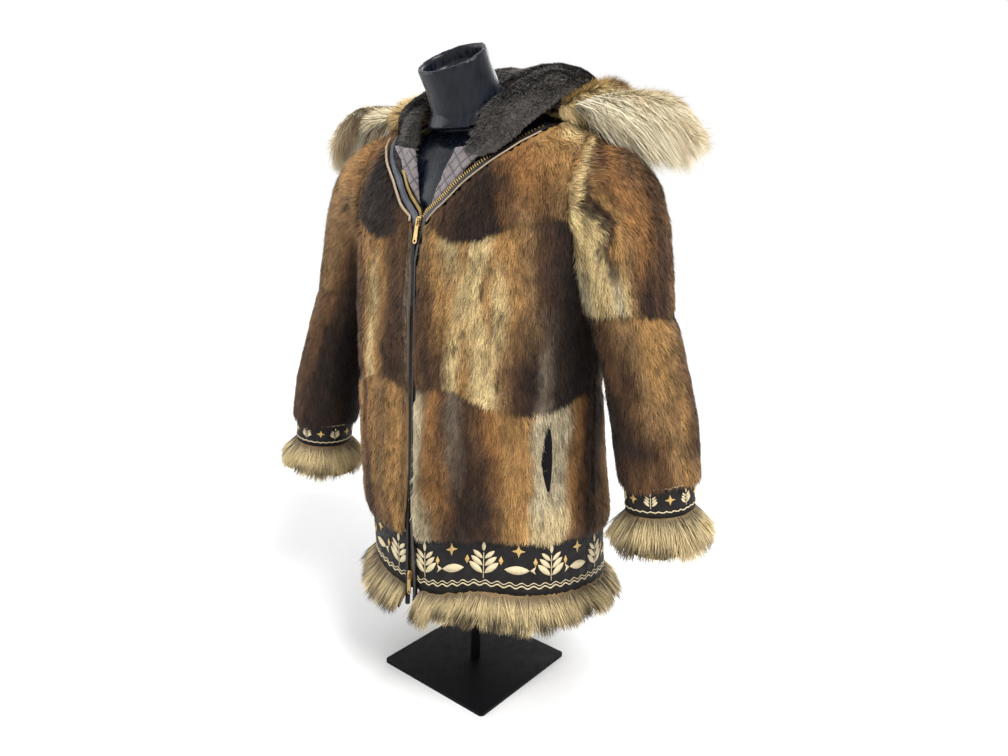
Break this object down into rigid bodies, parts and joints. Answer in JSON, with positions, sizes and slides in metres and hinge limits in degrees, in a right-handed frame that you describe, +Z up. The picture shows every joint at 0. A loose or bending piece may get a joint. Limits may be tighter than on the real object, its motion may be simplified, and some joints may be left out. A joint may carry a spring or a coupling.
{
  "type": "fur coat on a torso stand",
  "caption": "Hooded fur coat with long-haired trims, ornamented leather bands and a front zip, worn by a limbless torso form on a pole and square plate.",
  "frame": {"origin": "centre of the underside of the stand's square plate", "axes": "+Z up, the coat faces -Y, the wearer's left is +X"},
  "size_m": [0.932, 0.5469, 1.1464],
  "materials": {
    "pelt": "short soft fur in brown, golden and cream",
    "pile": "dense sheared dark pile",
    "ruff": "long cream fur",
    "trim": "long fur, cream with dark tips",
    "quilt": "quilted satin lining, mauve grey",
    "leather": "smooth black leather with cream inlay",
    "tape": "woven black tape",
    "brass": "worn yellow metal",
    "form": "glossy black",
    "stand": "satin black powder coat"
  },
  "bodies": {
    "root": {"back": "pelt", "base_plate": "stand", "cuff_band_left": "leather", "cuff_band_right": "leather", "cuff_trim_left": "trim", "cuff_trim_right": "trim", "form": "form", "front_left": "pelt", "front_right": "pelt", "hem_band_back": "leather", "hem_band_left": "leather", "hem_band_right": "leather", "hem_trim_back": "trim", "hem_trim_left": "trim", "hem_trim_right": "trim", "hood_lining": "pile", "hood_shell": "pelt", "lining_left": "quilt", "lining_right": "quilt", "pocket_left": "tape", "pocket_right": "tape", "pole": "stand", "ruff_left": "ruff", "ruff_right": "ruff", "sleeve_left": "pelt", "sleeve_right": "pelt", "slider_bottom": "brass", "slider_top": "brass", "welt_left": "leather", "welt_right": "leather", "zip_chain_left": "brass", "zip_chain_right": "brass", "zip_tape_left": "tape", "zip_tape_right": "tape"},
    "pull_top": {"pull_top": "brass"},
    "pull_bottom": {"pull_bottom": "brass"}
  },
  "joints": [
    {"name": "top_pull_lift", "type": "hinge", "parent": "root", "child": "pull_top", "pos_m": [0, -0.1597, 0.86141], "axis": [-1, 0, 0], "range_deg": [0, 150]},
    {"name": "bottom_pull_lift", "type": "hinge", "parent": "root", "child": "pull_bottom", "pos_m": [0, -0.18104, 0.25408], "axis": [-1, 0, 0], "range_deg": [0, 150]}
  ]
}
